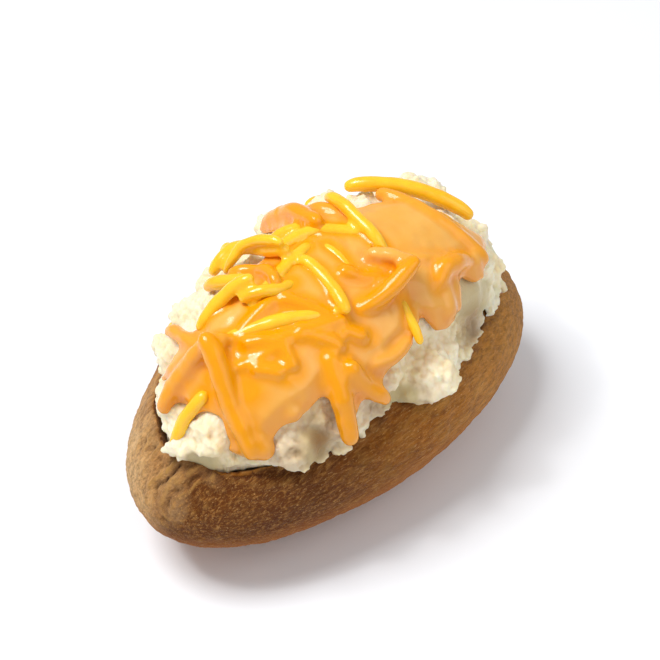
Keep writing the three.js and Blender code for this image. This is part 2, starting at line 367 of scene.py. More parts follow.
def sauceMaterial():
    # warm processed cheese sauce, poured: opaque, glossy, pale orange, amber where cheddar lies
    # under it; deeper orange on steep sides, partly as it hangs thick and partly painted shade, and
    # painted shade in its hollows
    material, tree, shader = newMaterial("cheeseSaucePoured", "#eea334", {
        "Roughness": 0.2, "Specular IOR Level": 0.4, "IOR": 1.46, "Subsurface Weight": 0.22,
        "Subsurface Radius": (1.0, 0.68, 0.26), "Subsurface Scale": 1.1 * mm,
        "Coat Weight": 0.18, "Coat Roughness": 0.06})
    paint(tree, shader, "#efb358", [
        (noiseRamp(tree, 12, 0.35, 0.7), "#e9a845"),
        # steep sides deeper orange: partly thicker sauce, partly painted shade
        (attributeRamp(tree, "steep", 0.0, 1.6), "#e58f24"),
        # painted shade in the hollows
        (attributeRamp(tree, "proud", 0.0, -0.6), "#e0800c"),
        (attributeRamp(tree, "amber", 0.05, 0.75), "#ef9c00"),
    ])
    return material


def cheddarMaterial():
    # coarsely grated cheddar, half melted: glossy amber yellow with rounded edges
    material, tree, shader = newMaterial("cheddarHalfMelted", "#fcb916", {
        "Roughness": 0.24, "Specular IOR Level": 0.5, "IOR": 1.46, "Subsurface Weight": 0.35,
        "Subsurface Radius": (1.0, 0.62, 0.12), "Subsurface Scale": 1.8 * mm,
        "Coat Weight": 0.3, "Coat Roughness": 0.08})
    paint(tree, shader, "#fdc828", [(noiseRamp(tree, 7, 0.35, 0.7), "#fab614")])
    return material


def sizedNoise(tree, size, stretch=(1, 1, 1), detail=3.0, roughness=0.5, seed=0.0):
    # a pattern from 0 to 1 whose bumps are about size millimetres across
    place = addNode(tree, "GeometryNodeInputPosition")
    moved = addNode(tree, "ShaderNodeVectorMath", {"operation": "MULTIPLY_ADD"}, {
        0: place, 1: tuple(1 / (size * mm * s) for s in stretch), 2: (seed, seed, seed)})
    return addNode(tree, "ShaderNodeTexNoise", {}, {
        "Vector": moved, "Scale": 1.0, "Detail": detail, "Roughness": roughness})


def swing(tree, pattern, depth):
    # a pattern from 0 to 1 made to swing evenly above and below nothing, by depth in all
    centred = addNode(tree, "ShaderNodeMath", {"operation": "SUBTRACT"}, {0: pattern, 1: 0.5})
    return addNode(tree, "ShaderNodeMath", {"operation": "MULTIPLY"}, {0: centred, 1: depth})


def crack(tree, pattern, sharpness):
    # 1 along the lines where the pattern passes its middle, falling quickly to 0 beside them
    away = addNode(tree, "ShaderNodeMath", {"operation": "ABSOLUTE"}, {0: swing(tree, pattern, 2.0)})
    ridge = addNode(tree, "ShaderNodeMath", {"operation": "SUBTRACT"}, {0: 1.0, 1: away})
    return addNode(tree, "ShaderNodeMath", {"operation": "POWER"}, {0: ridge, 1: sharpness})


def cellDomes(tree, size, settings, inputs, depth):
    # round-topped cells about as wide as size, whose middles stand out and whose seams sink in
    place = addNode(tree, "GeometryNodeInputPosition")
    perMetre = addNode(tree, "ShaderNodeMath", {"operation": "DIVIDE"}, {0: 1.0, 1: size})
    cells = addNode(tree, "ShaderNodeTexVoronoi", settings, {
        "Vector": place, "Scale": perMetre, **inputs})
    dome = addNode(tree, "ShaderNodeMath", {"operation": "SUBTRACT"}, {
        0: 0.45, 1: cells.outputs["Distance"]})
    return addNode(tree, "ShaderNodeMath", {"operation": "MULTIPLY"}, {0: dome, 1: depth})


def pushOut(tree, geometry, height):
    # every point moves along its normal by height, in metres
    normal = addNode(tree, "GeometryNodeInputNormal")
    offset = addNode(tree, "ShaderNodeVectorMath", {"operation": "SCALE"}, {
        0: normal, "Scale": height})
    return addNode(tree, "GeometryNodeSetPosition", {}, {"Geometry": geometry, "Offset": offset})


def keepProud(tree, geometry, iterations):
    # how far a point stands out of its blurred surroundings, in millimetres, kept as a vertex value
    place = addNode(tree, "GeometryNodeInputPosition")
    blurred = addNode(tree, "GeometryNodeBlurAttribute", {"data_type": "FLOAT_VECTOR"}, {
        "Value": place, "Iterations": iterations})
    apart = addNode(tree, "ShaderNodeVectorMath", {"operation": "SUBTRACT"}, {
        0: place, 1: blurred.outputs["Value"]})
    normal = addNode(tree, "GeometryNodeInputNormal")
    out = addNode(tree, "ShaderNodeVectorMath", {"operation": "DOT_PRODUCT"}, {0: apart, 1: normal})
    inMillimetres = addNode(tree, "ShaderNodeMath", {"operation": "MULTIPLY"}, {
        0: out.outputs["Value"], 1: 1 / mm})
    settings = {"data_type": "FLOAT", "domain": "POINT"}
    return addNode(tree, "GeometryNodeStoreNamedAttribute", settings, {
        "Geometry": geometry, "Name": "proud", "Value": inMillimetres})


def finishTree(tree, result, geometry, material):
    smooth = addNode(tree, "GeometryNodeSetShadeSmooth", {}, {"Geometry": geometry})
    real = addNode(tree, "GeometryNodeRealizeInstances", {}, {"Geometry": smooth})
    painted = addNode(tree, "GeometryNodeSetMaterial", {}, {"Geometry": real, "Material": material})
    tree.links.new(painted.outputs[0], result.inputs[0])
    return tree


jacketValues = {
    "voxel": 0.63,
    "smoothing": 50,
    "dentDepth": 1.3,
    "wrinkleDepth": 1.15,
    "creasedAround": (-54, -5, 35),  # the near end of the opening
    "creasedReach": 15,
    "netDepth": 0.34,
    "rimReach": 5,
    "foldStrength": 0.9,
    "foldStrays": (3, 1.1),  # how long and how wide a fold's line wavers
    "foldShoulder": 0.35,  # how high the low shoulder beside a fold is, as a share of its depth
    "nearEnd": (-30, 25),  # where the painted light on the near end starts, and over what length it comes in
    "farTip": (50, 12),
    # the painted light falls on faces turned this way, in patches this wide
    "paintedLightFaces": (-0.55, 0.8, 0.25),
    "paintedLightPatches": 7,
    "shadeEnds": (15, 50),
    "palerOver": 40,
    "seed": 5,
    # folds that the skin got as it dried: points along each, its depth and its width
    "folds": [
        ([(-49.5, 10, 37), (-52.8, 10.5, 35.1), (-55.6, 10.2, 33.2), (-58, 8, 31)], 0.8, 0.8),
        ([(-51.8, 6.7, 37), (-55.5, 6.6, 34.9), (-57.9, 6.7, 33.1)], 1.3, 0.9),
        ([(-54.4, 1.5, 36.6), (-57.3, 1.7, 34.8), (-60, 3, 32.5)], 0.8, 0.7),
        ([(-53.5, -1.5, 37.2), (-56.8, -0.6, 35.4), (-60, 1, 33), (-62, 3, 30.5)], 1.2, 0.8),
        ([(-53.5, -5.3, 37), (-57.1, -3.2, 35.2), (-60.9, -2, 32.5), (-63.8, -1.9, 29.3)], 1.3, 0.9),
        ([(-53.3, -10.7, 36.3), (-57.7, -8.1, 34.4), (-61.6, -6.8, 31.6), (-64.3, -7, 28.2)], 1.0, 0.8),
        ([(-50.4, -13.6, 36.9), (-46.3, -19, 36.3), (-39.6, -24.3, 34.9), (-31.4, -27.5, 34.4)],
         1.2, 1.2),
        ([(-65.3, -5.7, 26.6), (-65.2, -7.7, 26.2), (-64.9, -9.5, 25.5)], 1.0, 0.6),
        ([(12.5, -34.5, 34), (10, -37.4, 29), (8.5, -38.2, 24), (12, -37, 18)], 0.6, 2.0),
        ([(-26, -30, 34), (-18, -32, 34.4), (-10, -33, 35)], 0.8, 1.4),
        ([(34, -30, 32), (44, -23, 33), (52, -15, 33)], 0.8, 1.4),
        ([(60, 4, 32), (58, 12, 31), (52, 20, 31)], 1.0, 1.1),
        ([(62, 6, 28), (60, 14, 26), (55, 21, 25)], 0.8, 1.2),
        ([(-30, 33, 33), (-16, 37, 31), (0, 38, 31), (14, 37.5, 33)], 0.9, 1.5),
        ([(30, 33, 22), (40, 28, 19), (48, 22, 20)], 0.7, 1.8),
    ],
}


def foldDepth(points, folds):
    # how deep each point lies in a fold, in millimetres, with a low shoulder beside it
    depth = np.zeros(len(points))
    length, width = jacketValues["foldStrays"]
    noise.seed_set(jacketValues["seed"])  # or the stray differs from run to run
    stray = [noise.noise_vector(Vector(p) / (length * mm)) for p in points]
    points = points + np.array(stray) * width * mm
    for line, deep, wide in folds:
        line = np.array(line) * mm
        nearest = np.full(len(points), 1e9)
        for a, b in zip(line[:-1], line[1:]):
            along = np.clip(((points - a) @ (b - a)) / ((b - a) @ (b - a)), 0, 1)
            apart = np.linalg.norm(points - a - along[:, None] * (b - a), axis=1)
            nearest = np.minimum(nearest, apart)
        toFirst = np.linalg.norm(points - line[0], axis=1)
        toLast = np.linalg.norm(points - line[-1], axis=1)
        fade = np.clip(np.minimum(toFirst, toLast) / (4 * wide * mm), 0.25, 1)
        across = nearest / (1.05 * wide * mm)
        shoulder = jacketValues["foldShoulder"] * np.exp(-((across - 2.2) / 0.9) ** 2)
        depth += jacketValues["foldStrength"] * deep * fade * (np.exp(-across ** 2) - shoulder)
    return depth


def skinTree(material):
    tree, given, result = geometryTree("wrinkledSkin", {
        "Dent Depth": "NodeSocketFloat",
        "Wrinkle Depth": "NodeSocketFloat",
        "Net Depth": "NodeSocketFloat",
    })
    creased, fold = (
        addNode(tree, "GeometryNodeInputNamedAttribute", {"data_type": "FLOAT"}, {"Name": name})
        for name in ("creased", "fold"))
    height = swing(tree, sizedNoise(tree, 17, seed=2.0), given.outputs["Dent Depth"])
    wrinkles = crack(tree, sizedNoise(tree, 3.6, (2.4, 1, 1), 3.0, 0.55, 7.0), 2.5)
    bulges = swing(tree, sizedNoise(tree, 4, seed=5.0), 1.4)
    wrinkles = addNode(tree, "ShaderNodeMath", {"operation": "SUBTRACT"}, {0: wrinkles, 1: bulges})
    wrinkles = addNode(tree, "ShaderNodeMath", {"operation": "MULTIPLY"}, {0: wrinkles, 1: creased})
    net = crack(tree, sizedNoise(tree, 2.2, (3.2, 1, 1), 3.0, 0.6, 11.0), 2.5)
    # all three are cut into the dented skin
    reliefs = [(wrinkles, given.outputs["Wrinkle Depth"]), (net, given.outputs["Net Depth"]), (fold, mm)]
    for pattern, depth in reliefs:
        cut = addNode(tree, "ShaderNodeMath", {"operation": "MULTIPLY"}, {0: pattern, 1: depth})
        height = addNode(tree, "ShaderNodeMath", {"operation": "SUBTRACT"}, {0: height, 1: cut})
    relief = pushOut(tree, given.outputs["Geometry"], height)
    return finishTree(tree, result, keepProud(tree, relief, 5), material)


def makeJacket():
    jacket = cadCopy("bakedJacket", "jacket")
    remesh(jacket, jacketValues["voxel"], jacketValues["smoothing"])
    mesh = jacket.data
    points, normals = coordinates(mesh), normalsOf(mesh)
    outward = points - np.array([0, 0, 24 * mm])
    outward[:, 0] *= 0.2  # the middle line runs along X
    outward /= np.linalg.norm(outward, axis=1)[:, None]
    inside = np.clip(-(normals * outward).sum(1) * 2, 0, 1)
    belowTop = points[:, 2].max() - points[:, 2]
    start, length = jacketValues["nearEnd"]
    nearEnd = np.clip((start * mm - points[:, 0]) / (length * mm), 0, 1)
    start, length = jacketValues["farTip"]
    farTip = np.clip((points[:, 0] - start * mm) / (length * mm), 0, 1)
    around = np.array(jacketValues["creasedAround"]) * mm
    apart = np.linalg.norm(points - around, axis=1) / (jacketValues["creasedReach"] * mm)
    creased = np.maximum(np.exp(-apart ** 2), 0.12 + 0.25 * farTip)
    # painted light on the near end, on faces turned towards the key light and in patches; painted shade
    # on the front of the near half
    facing = normals @ np.array(jacketValues["paintedLightFaces"])
    patchSize = jacketValues["paintedLightPatches"] * mm
    patchy = np.array([noise.noise(Vector(p) / patchSize) for p in points]) * 0.35
    front = np.clip((-normals[:, 1] + 0.15) / 0.4, 0, 1)
    start, length = jacketValues["shadeEnds"]
    shaded = np.clip((start * mm - points[:, 0]) / (length * mm), 0, 1)
    vertexValue(mesh, "inside", inside)
    vertexValue(mesh, "rim", np.clip(1 - belowTop / (jacketValues["rimReach"] * mm), 0, 1))
    vertexValue(mesh, "fold", foldDepth(points, jacketValues["folds"]) * (1 - inside))
    vertexValue(mesh, "creased", creased * (1 - inside))
    vertexValue(mesh, "paintedLight", nearEnd * np.clip((facing + 0.7 * patchy - 0.22) / 0.75, 0, 1))
    vertexValue(mesh, "shade", front * shaded)
    vertexValue(mesh, "under", np.clip(-normals[:, 2] / 0.7, 0, 1))
    farHalf = np.clip(points[:, 0] / (jacketValues["palerOver"] * mm), 0, 1)
    vertexValue(mesh, "paler", front * farHalf)
    bake(setTree(jacket, skinTree(skinMaterial()), {
        "Dent Depth": jacketValues["dentDepth"] * mm,
        "Wrinkle Depth": jacketValues["wrinkleDepth"] * mm,
        "Net Depth": jacketValues["netDepth"] * mm,
    }))
    return jacket


jacket = makeJacket()
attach(jacket, "root")
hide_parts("jacket")
print("jacket:", len(jacket.data.polygons), "faces")


strandValues = {
    "voxel": 0.42,
    "smoothing": 3,
    "meltReach": 0.5,
    "sides": 14,
    "step": 0.6,
    "groove": 0.22,  # share of the radius
    "wander": 0.3,
    "fuller": 1.3,  # times the plain solid's radius
    "stations": 9,  # how many points each strand's middle line gets
    "reachOn": 2.2,  # how far each end runs on
    "endsSink": 0.7,  # and how far it sinks into what it lies on, as a share of that
    "liesLower": 0.25,
    "taper": 0.28,
    # strands that the sauce has run over, and how much of their amber shows through it
    "coated": {
        "strand_01": 0.55, "strand_02": 0.4, "strand_05": 0.6, "strand_12": 0.7, "strand_14": 1.0,
        "strand_17": 0.9, "strand_18": 0.15, "strand_20": 0.9, "strand_21": 0.35, "strand_22": 0.95,
        "strand_23": 0.8, "strand_25": 0.5, "strand_26": 0.95, "strand_29": 0.7, "strand_30": 0.5,
    },
}


def centreLine(node, count):
    # where planes across the strand's long direction cut it, the middle of each cut
    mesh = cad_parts[node].data
    points = coordinates(mesh)
    pairs = np.array([edge.vertices for edge in mesh.edges])
    spread = points - points.mean(0)
    axes = np.linalg.svd(spread, full_matrices=False)[2]
    local = spread @ axes.T
    start, end = local[:, 0].min(), local[:, 0].max()
    stations = np.linspace(start, end, count + 2)[1:-1]
    a, b = local[pairs[:, 0]], local[pairs[:, 1]]
    line, width = [], []
    for station in stations:
        crossing = (a[:, 0] - station) * (b[:, 0] - station) < 0
        near, far = a[crossing], b[crossing]
        cut = near + (far - near) * ((station - near[:, :1]) / (far[:, :1] - near[:, :1]))
        line.append((cut.min(0) + cut.max(0)) / 2)
        width.append((cut.max(0) - cut.min(0))[1:].min())
    line = np.array(line)
    line[:, 0] = stations
    ends = [line[0] - (line[1] - line[0]) * 0.6, line[-1] + (line[-1] - line[-2]) * 0.6]
    line = np.vstack([ends[0], line, ends[1]])
    return line @ axes + points.mean(0), float(np.median(width)) / 2


def runOn(line):
    reach = strandValues["reachOn"] * mm
    sink = np.array([0, 0, -strandValues["endsSink"]]) * reach
    first = line[0] + (line[0] - line[1]) / np.linalg.norm(line[0] - line[1]) * reach + sink
    last = line[-1] + (line[-1] - line[-2]) / np.linalg.norm(line[-1] - line[-2]) * reach + sink
    lowered = line - np.array([0, 0, strandValues["liesLower"] * mm])
    return np.vstack([first, lowered, last])


def tapered(radius, count):
    share = np.abs(np.linspace(-1, 1, count))
    return list(radius * (1 - strandValues["taper"] * share ** 4))


def strandTree(material):
    tree, given, result = geometryTree("meltedStrand", {
        "Step": "NodeSocketFloat",
        "Sides": "NodeSocketInt",
        "Groove": "NodeSocketFloat",
        "Wander": "NodeSocketFloat",
    })
    even = addNode(tree, "GeometryNodeResampleCurve", {"mode": "LENGTH"}, {
        "Curve": given.outputs["Geometry"], "Length": given.outputs["Step"]})
    along = addNode(tree, "GeometryNodeSplineParameter").outputs["Length"]
    whole = addNode(tree, "GeometryNodeSplineLength").outputs["Length"]
    radius = addNode(tree, "GeometryNodeInputRadius")
    # the ends close in a round, over one radius of length
    toEnd = addNode(tree, "ShaderNodeMath", {"operation": "SUBTRACT"}, {0: whole, 1: along})
    nearest = addNode(tree, "ShaderNodeMath", {"operation": "MINIMUM"}, {0: along, 1: toEnd})
    atLeast = addNode(tree, "ShaderNodeMath", {"operation": "MAXIMUM"}, {0: radius, 1: 0.0001})
    share = addNode(tree, "ShaderNodeMath", {"operation": "DIVIDE"}, {0: nearest, 1: atLeast})
    share = addNode(tree, "ShaderNodeMath", {"operation": "MINIMUM"}, {0: share, 1: 1.0})
    missing = addNode(tree, "ShaderNodeMath", {"operation": "SUBTRACT"}, {0: 1.0, 1: share})
    squared = addNode(tree, "ShaderNodeMath", {"operation": "MULTIPLY"}, {0: missing, 1: missing})
    left = addNode(tree, "ShaderNodeMath", {"operation": "SUBTRACT"}, {0: 1.02, 1: squared})
    roundEnd = addNode(tree, "ShaderNodeMath", {"operation": "SQRT"}, {0: left})
    # and the thickness wanders along it
    uneven = swing(tree, sizedNoise(tree, 5), given.outputs["Wander"])
    uneven = addNode(tree, "ShaderNodeMath", {"operation": "ADD"}, {0: uneven, 1: 1.0})
    size = addNode(tree, "ShaderNodeMath", {"operation": "MULTIPLY"}, {0: radius, 1: roundEnd})
    size = addNode(tree, "ShaderNodeMath", {"operation": "MULTIPLY"}, {0: size, 1: uneven})
    # a round section with a shallow groove along its top
    ring = addNode(tree, "GeometryNodeCurvePrimitiveCircle", {}, {
        "Resolution": given.outputs["Sides"], "Radius": 1.0})
    place = addNode(tree, "GeometryNodeInputPosition")
    aside, up = addNode(tree, "ShaderNodeSeparateXYZ", {}, {0: place}).outputs[:2]
    falling = addNode(tree, "ShaderNodeMath", {"operation": "MULTIPLY"}, {0: aside, 1: aside})
    falling = addNode(tree, "ShaderNodeMath", {"operation": "MULTIPLY"}, {0: falling, 1: -7.0})
    dip = addNode(tree, "ShaderNodeMath", {"operation": "EXPONENT"}, {0: falling})
    dip = addNode(tree, "ShaderNodeMath", {"operation": "MULTIPLY"}, {
        0: dip, 1: given.outputs["Groove"]})
    topOnly = addNode(tree, "ShaderNodeMath", {"operation": "GREATER_THAN"}, {0: up, 1: 0.0})
    dip = addNode(tree, "ShaderNodeMath", {"operation": "MULTIPLY"}, {0: dip, 1: topOnly})
    lower = addNode(tree, "ShaderNodeMath", {"operation": "MULTIPLY"}, {0: dip, 1: -1.0})
    offset = addNode(tree, "ShaderNodeCombineXYZ", {}, {1: lower})
    grooved = addNode(tree, "GeometryNodeSetPosition", {}, {
        "Geometry": ring.outputs[0], "Offset": offset})
    upright = addNode(tree, "GeometryNodeSetCurveNormal", {"mode": "Z_UP"}, {"Curve": even})
    swept = addNode(tree, "GeometryNodeCurveToMesh", {}, {
        "Curve": upright, "Profile Curve": grooved, "Scale": size, "Fill Caps": True})
    return finishTree(tree, result, swept, material)


def sweep(name, lines, groove):
    # lines are (points, radii) pairs, and each becomes one strand
    curve = bpy.data.curves.new(name, "CURVE")
    curve.dimensions = "3D"
    for line, radii in lines:
        spline = curve.splines.new("NURBS")
        spline.points.add(len(line) - 1)
        spline.order_u = 4
        spline.use_endpoint_u = True
        for point, place, radius in zip(spline.points, line, radii):
            point.co = (*place, 1)
            point.radius = radius
    route = setTree(newObject(name, curve), sweepTree, {
        "Step": strandValues["step"] * mm, "Sides": strandValues["sides"],
        "Groove": groove, "Wander": strandValues["wander"]})
    depsgraph = bpy.context.evaluated_depsgraph_get()
    mesh = bpy.data.meshes.new_from_object(route.evaluated_get(depsgraph))
    bpy.data.objects.remove(route)
    return newObject(name, mesh)


sweepTree = strandTree(cheddarMaterial())
sauceCad = cadCopy("sauceCad", "sauce")
sauceCadTree = treeOf(sauceCad)
strandLines = {name: centreLine(name, strandValues["stations"]) for name in strandNames}
coated = strandValues["coated"]
bareLines = []
for strandName in strandNames:
    if strandName not in coated:
        strandLine, halfThick = strandLines[strandName]
        radii = tapered(halfThick * strandValues["fuller"], len(strandLine) + 2)
        bareLines.append((runOn(strandLine), radii))
strands = sweep("gratedCheddar", bareLines, strandValues["groove"])
melt(strands, strandValues["voxel"], strandValues["meltReach"], strandValues["smoothing"])
strands.data.shade_smooth()
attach(strands, "root")
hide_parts(*strandNames)
print("strands:", len(strands.data.polygons), "faces")


sauceValues = {
    "voxel": 0.48,
    "smoothing": 8,
    "meltReach": 1.1,
    "swell": 0.6,  # the sheet stands this much fuller than the plain solid
    "coat": 0.35,  # how much sauce lies on a coated strand
    "coatSinks": 0.6,  # and how far below its own place such a strand lies
    # lobes and drips along the sheet's edge: points and radii down to the rounded end
    "drips": [
        [(-41, -10, 56.5, 3.0), (-43.5, -16, 50.5, 3.2), (-43, -20, 44.5, 2.9),
         (-42.8, -21.6, 40.7, 3.4)],
        [(-34, -17, 57, 3.4), (-34.6, -21.5, 51.5, 3.2), (-34.6, -23.6, 48.6, 2.8)],
        [(-31, -18, 58, 3.2), (-31.4, -22, 54, 2.8), (-31.6, -23.6, 51.2, 2.4)],
        [(17, -21, 62, 3.4), (15.5, -26, 57.5, 3.2), (14.6, -28.8, 51.8, 3.5)],
        [(21, -22, 60.5, 3.0), (20, -26, 56, 2.6), (18, -28, 51.5, 2.4)],
        [(6.5, -23, 61, 2.0), (4.5, -26.3, 58.4, 1.7), (3.6, -27.6, 56.6, 1.6)],
        [(-1, -23, 61, 2.8), (-1.5, -26.4, 57, 2.4), (-0.5, -28, 53.6, 1.8)],
        [(-9, -23, 60, 2.8), (-9, -27.5, 55.4, 2.2)],
        [(31, -20, 60, 3.0), (32, -24.5, 55, 2.4)],
        [(38, -16, 58.5, 3.0), (40, -19, 53, 2.2)],
        [(-47, 3, 53.5, 2.2), (-48.6, 6.6, 49.8, 1.9)],
    ],
    # cheddar that the sauce has closed over: routes over the heap as x and y
    "buried": [
        [(-44, -5.4), (-37, -12), (-27, -15.2)],
        [(-36, -7), (-32, -10.3), (-29, -14.5)],
        [(-26, -14.4), (-21, -17.6), (-13, -19.9)],
        [(-20, -19.3), (-19, -21.7), (-19, -23.9)],
        [(-17, -20.4), (-14, -22.7), (-11, -25.1)],
        [(-36.6, -4.3), (-29.2, -5), (-22.4, -5.8)],
        [(-22.4, -5.8), (-18.8, -11.6), (-15.7, -18.5)],
        [(-24.8, -14.3), (-22.4, -18.2), (-19.4, -22)],
        [(-32.7, -10.7), (-26, -15), (-19.2, -20.2)],
        [(-38, -12), (-35, -16), (-33, -19)],
        [(-28, -12), (-30, -16), (-31, -20)],
    ],
    "buriedRadius": 1.9,
    "buriedLift": 0.35,  # how far its middle lies above the sheet, as a share of its radius
    "buriedAmber": 0.8,
    "ripple": 0.9,
    # where melted cheddar has run into the sauce: x, y, z, reach, strength
    "amberPools": [
        (-43, -13, 53, 5, 0.95), (-23, -24, 56, 4.5, 0.9), (-17, -18, 63, 5, 0.7),
        (-27, -16, 64, 4, 0.5), (-34, -14, 62, 4.5, 0.6), (-2, -27, 55, 3.5, 0.9),
        (13, -14, 66, 3.5, 0.8), (17, -21, 62, 3, 0.7), (-10, -12, 67, 4, 0.6), (-46, 3, 54, 4, 0.6),
        (2, 2, 71, 4, 0.6), (-41, -14, 57, 5, 0.95), (-38, -9, 61, 4, 0.6), (4, 21, 60, 8, 1.0),
        (9, 12, 66, 5, 0.7), (-27, 15, 60, 5, 0.7),
    ],
}


def overSauce(route):
    radius = sauceValues["buriedRadius"]
    line = []
    for x, y in route:
        above = Vector((x * mm, y * mm, highest.z + 0.01))
        hit = sauceCadTree.ray_cast(above, Vector((0, 0, -1)))
        line.append((x * mm, y * mm, hit[0].z + sauceValues["buriedLift"] * radius * mm))
    return np.array(line), [radius * mm] * len(line)


def amberAt(points):
    # how strongly cheddar shows through the sauce, from how near its middle lines are
    axes = [(*strandLines[name], coated.get(name, 1.0)) for name in strandNames]
    for route in sauceValues["buried"]:
        line, radii = overSauce(route)
        axes.append((line, radii[0], sauceValues["buriedAmber"]))
    marks = [(a + (b - a) * share, radius, weight) for line, radius, weight in axes
             for a, b in zip(line[:-1], line[1:]) for share in np.linspace(0, 1, 8)]
    lookUp = KDTree(len(marks))
    for index, mark in enumerate(marks):
        lookUp.insert(mark[0], index)
    lookUp.balance()
    amber = np.zeros(len(points))
    for index, point in enumerate(points):
        place, found, distance = lookUp.find(point)
        radius, weight = marks[found][1:]
        fade = (1.6 + 1.4 * weight) * mm
        amber[index] = weight * min(max(1 - (distance - radius) / fade, 0), 1)
    for x, y, z, reach, weight in sauceValues["amberPools"]:
        apart = np.linalg.norm(points - np.array([x, y, z]) * mm, axis=1) / (reach * mm)
        amber = np.maximum(amber, weight * np.exp(-apart ** 2))
    return amber


def poolTree(material):
    tree, given, result = geometryTree("sauceRipples", {"Ripple": "NodeSocketFloat"})
    ripple = swing(tree, sizedNoise(tree, 7, detail=1.0), given.outputs["Ripple"])
    relief = pushOut(tree, given.outputs["Geometry"], ripple)
    return finishTree(tree, result, keepProud(tree, relief, 8), material)


def makeSauce():
    lines = []
    for name in strandNames:
        line, halfWidth = strandLines[name]
        if name in coated:
            under = line - np.array([0, 0, sauceValues["coatSinks"] * mm])
            radius = halfWidth * strandValues["fuller"] + sauceValues["coat"] * mm
            lines.append((runOn(under), tapered(radius, len(line) + 2)))
            continue
        # under a bare strand the sauce only climbs its sides
        gap = distanceTo(sauceCadTree, line, 4)
        onSauce = np.clip(3.2 - gap, 0, 1)
        sunk = line - np.array([0, 0, 0.55]) * halfWidth
        lines.append((sunk, list(np.maximum(halfWidth * 1.15 * onSauce, 0.02 * mm))))
    lines += [overSauce(route) for route in sauceValues["buried"]]
    for drip in sauceValues["drips"]:
        drip = np.array(drip) * mm
        lines.append((drip[:, :3], list(drip[:, 3])))
    bed = sweep("sauceBed", lines, 0.0)
    swell = normalsOf(sauceCad.data) * sauceValues["swell"] * mm
    moveVertices(sauceCad.data, coordinates(sauceCad.data) + swell)
    sauce = joined("pouredSauce", [sauceCad, bed])
    melt(sauce, sauceValues["voxel"], sauceValues["meltReach"], sauceValues["smoothing"])
    points = coordinates(sauce.data)
    vertexValue(sauce.data, "amber", amberAt(points))
    # steep sides get the deeper orange, partly painted shade
    vertexValue(sauce.data, "steep", np.clip((0.8 - normalsOf(sauce.data)[:, 2]) / 0.6, 0, 1))
    bake(setTree(sauce, poolTree(sauceMaterial()), {"Ripple": sauceValues["ripple"] * mm}))
    return sauce


sauce = makeSauce()
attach(sauce, "root")
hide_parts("sauce")
print("sauce:", len(sauce.data.polygons), "faces")


fleshValues = {
    "coreVoxel": 1.0,
    "coreSmoothing": 3,
    "clodSize": 9.5,
    "clodDepth": 4.2,
    # along the rim the flesh stops short of the plain solid: x, and by how much at the front
    "shyAtFront": [(-54, -2), (-38, -1.6), (-28, 0), (-14, 2), (-3, 2.5), (5, 0.5), (8, 0), (13, 4),
                   (20, 4.5), (36, 3.2), (50, 1.5)],
    "shyAtBack": 0.6,
    # smooth waxy lumps where the potato hasn't crumbled: place and radius
    "waxy": [((-51.5, -8.5, 38.5), 4.5), ((-33.5, -26.5, 41), 5.5), ((27, -25, 50), 5.5),
             ((34, -24, 45), 5), ((-4, -31, 40), 4), ((20, 30, 42), 6), ((-30, 27, 42), 5)],
    # painted shade low down, as place and reach
    "paintedShadeSpots": [((-31, -28, 42), 6), ((-38, -26, 42), 4.5), ((-12, -32, 42), 5), ((2, -33, 38), 4),
                ((28, -28, 42), 6)],
    "sunkBy": 0.9,  # the core, below the crumbs that lie on it
    "coreUneven": (9, 1.4),  # how wide the core's own humps are, and how high
    "gapSize": 14,
    "sauceClears": 1.9,  # crumbs start this far from the sauce
    "bottom": 30,  # hidden inside the jacket below this height
    "voxel": 0.54,
    "smoothing": 1,
    "showsAbove": 33,
    "lumpsPerSquareCentimetre": 40,
    "smallest": 0.6,
    "largest": 1.7,
    "crumbDepth": 0.9,
    "grainSize": 1.5,
    "grainDepth": 0.8,
    "seed": 5,
}


def cutBelow(obj, height):
    cut = bmesh.new()
    cut.from_mesh(obj.data)
    parts = cut.verts[:] + cut.edges[:] + cut.faces[:]
    made = bmesh.ops.bisect_plane(
        cut, geom=parts, plane_co=(0, 0, height * mm), plane_no=(0, 0, 1), clear_inner=True)
    rim = [e for e in made["geom_cut"] if isinstance(e, bmesh.types.BMEdge)]
    bmesh.ops.holes_fill(cut, edges=rim, sides=0)
    cut.to_mesh(obj.data)
    cut.free()


